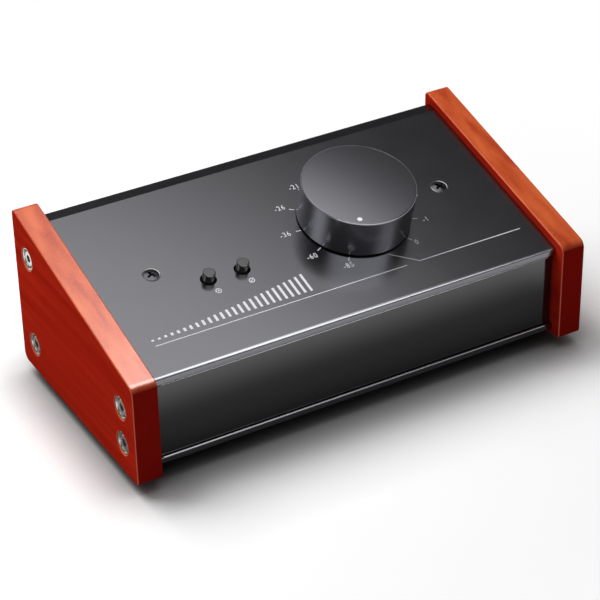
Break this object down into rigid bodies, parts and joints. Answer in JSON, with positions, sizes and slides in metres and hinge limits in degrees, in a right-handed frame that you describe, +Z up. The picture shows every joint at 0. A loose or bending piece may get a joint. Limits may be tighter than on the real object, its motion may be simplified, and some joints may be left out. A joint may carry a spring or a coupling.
{
  "type": "studio monitor controller",
  "caption": "Wedge-shaped passive level controller for studio monitors: turning knob, two latching push buttons, wooden end cheeks and audio sockets at the back.",
  "frame": {"origin": "on the surface that the feet stand on, in the middle of the width and depth", "axes": "+X across the width to the right as the user sees it, -Y towards the user, +Z up"},
  "size_m": [0.17, 0.086, 0.0681],
  "materials": {
    "satin_black_aluminium": "satin anodised",
    "red_stained_wood": "red stain under semi-gloss lacquer",
    "bright_steel": "bright zinc",
    "black_steel": "black zinc",
    "black_rubber": "matt",
    "green_circuit_board": "solder mask",
    "resistor_film": "lacquered",
    "pot_can_steel": "zinc",
    "switch_plastic": "moulded",
    "tinned_pins": "tinned",
    "socket_plastic": "moulded",
    "black_nickel_shell": "black plated",
    "satin_knob_aluminium": "fine satin",
    "insert_brass": "turned",
    "white_dot": "inlay",
    "button_plastic": "glossy",
    "ribbon_pvc": "ribbed"
  },
  "bodies": {
    "root": {"top_shell": "satin_black_aluminium", "bottom_shell": "satin_black_aluminium", "front_panel": "satin_black_aluminium", "rear_panel": "satin_black_aluminium", "left_cheek": "red_stained_wood", "right_cheek": "red_stained_wood", "left_cheek_washers": "bright_steel", "right_cheek_washers": "bright_steel", "left_cheek_screws": "bright_steel", "right_cheek_screws": "bright_steel", "rubber_feet": "black_rubber", "foot_screws": "black_steel", "panel_screws": "black_steel", "board_standoffs": "bright_steel", "board_screws": "black_steel", "control_board": "green_circuit_board", "summing_resistors": "resistor_film", "pot_housing": "pot_can_steel", "pot_bushing": "pot_can_steel", "pot_washer": "bright_steel", "pot_nut": "bright_steel", "pot_wafers": "switch_plastic", "pot_terminals": "tinned_pins", "mono_switch": "switch_plastic", "mono_spring": "bright_steel", "mute_switch": "switch_plastic", "mute_spring": "bright_steel", "switch_pins": "tinned_pins", "left_input_socket": "socket_plastic", "left_input_contacts": "tinned_pins", "right_input_socket": "socket_plastic", "right_input_contacts": "tinned_pins", "left_output_socket": "black_nickel_shell", "left_output_pins": "tinned_pins", "right_output_socket": "black_nickel_shell", "right_output_pins": "tinned_pins", "socket_screws": "black_steel", "aux_socket": "socket_plastic", "aux_nut": "bright_steel", "aux_pins": "tinned_pins", "io_board": "green_circuit_board", "control_header": "switch_plastic", "io_header": "switch_plastic", "ribbon_cable": "ribbon_pvc"},
    "knob": {"volume_knob": "satin_knob_aluminium", "knob_insert": "insert_brass", "knob_set_screw": "black_steel", "knob_pointer": "white_dot", "pot_shaft": "bright_steel", "pot_wipers": "switch_plastic"},
    "mono_key": {"mono_button": "button_plastic", "mono_plunger": "switch_plastic"},
    "mute_key": {"mute_button": "button_plastic", "mute_plunger": "switch_plastic"}
  },
  "joints": [
    {"name": "volume_turn", "type": "hinge", "parent": "root", "child": "knob", "pos_m": [0.02, -0.00018, 0.04898], "axis": [0, 0.2611, -0.9653], "range_deg": [0, 300]},
    {"name": "mono_press", "type": "slide", "parent": "root", "child": "mono_key", "axis": [0, 0.2611, -0.9653], "range_m": [0, 0.0022], "stiffness_N_per_m": 900, "deforming": ["mono_spring"]},
    {"name": "mute_press", "type": "slide", "parent": "root", "child": "mute_key", "axis": [0, 0.2611, -0.9653], "range_m": [0, 0.0022], "stiffness_N_per_m": 900, "deforming": ["mute_spring"]}
  ]
}
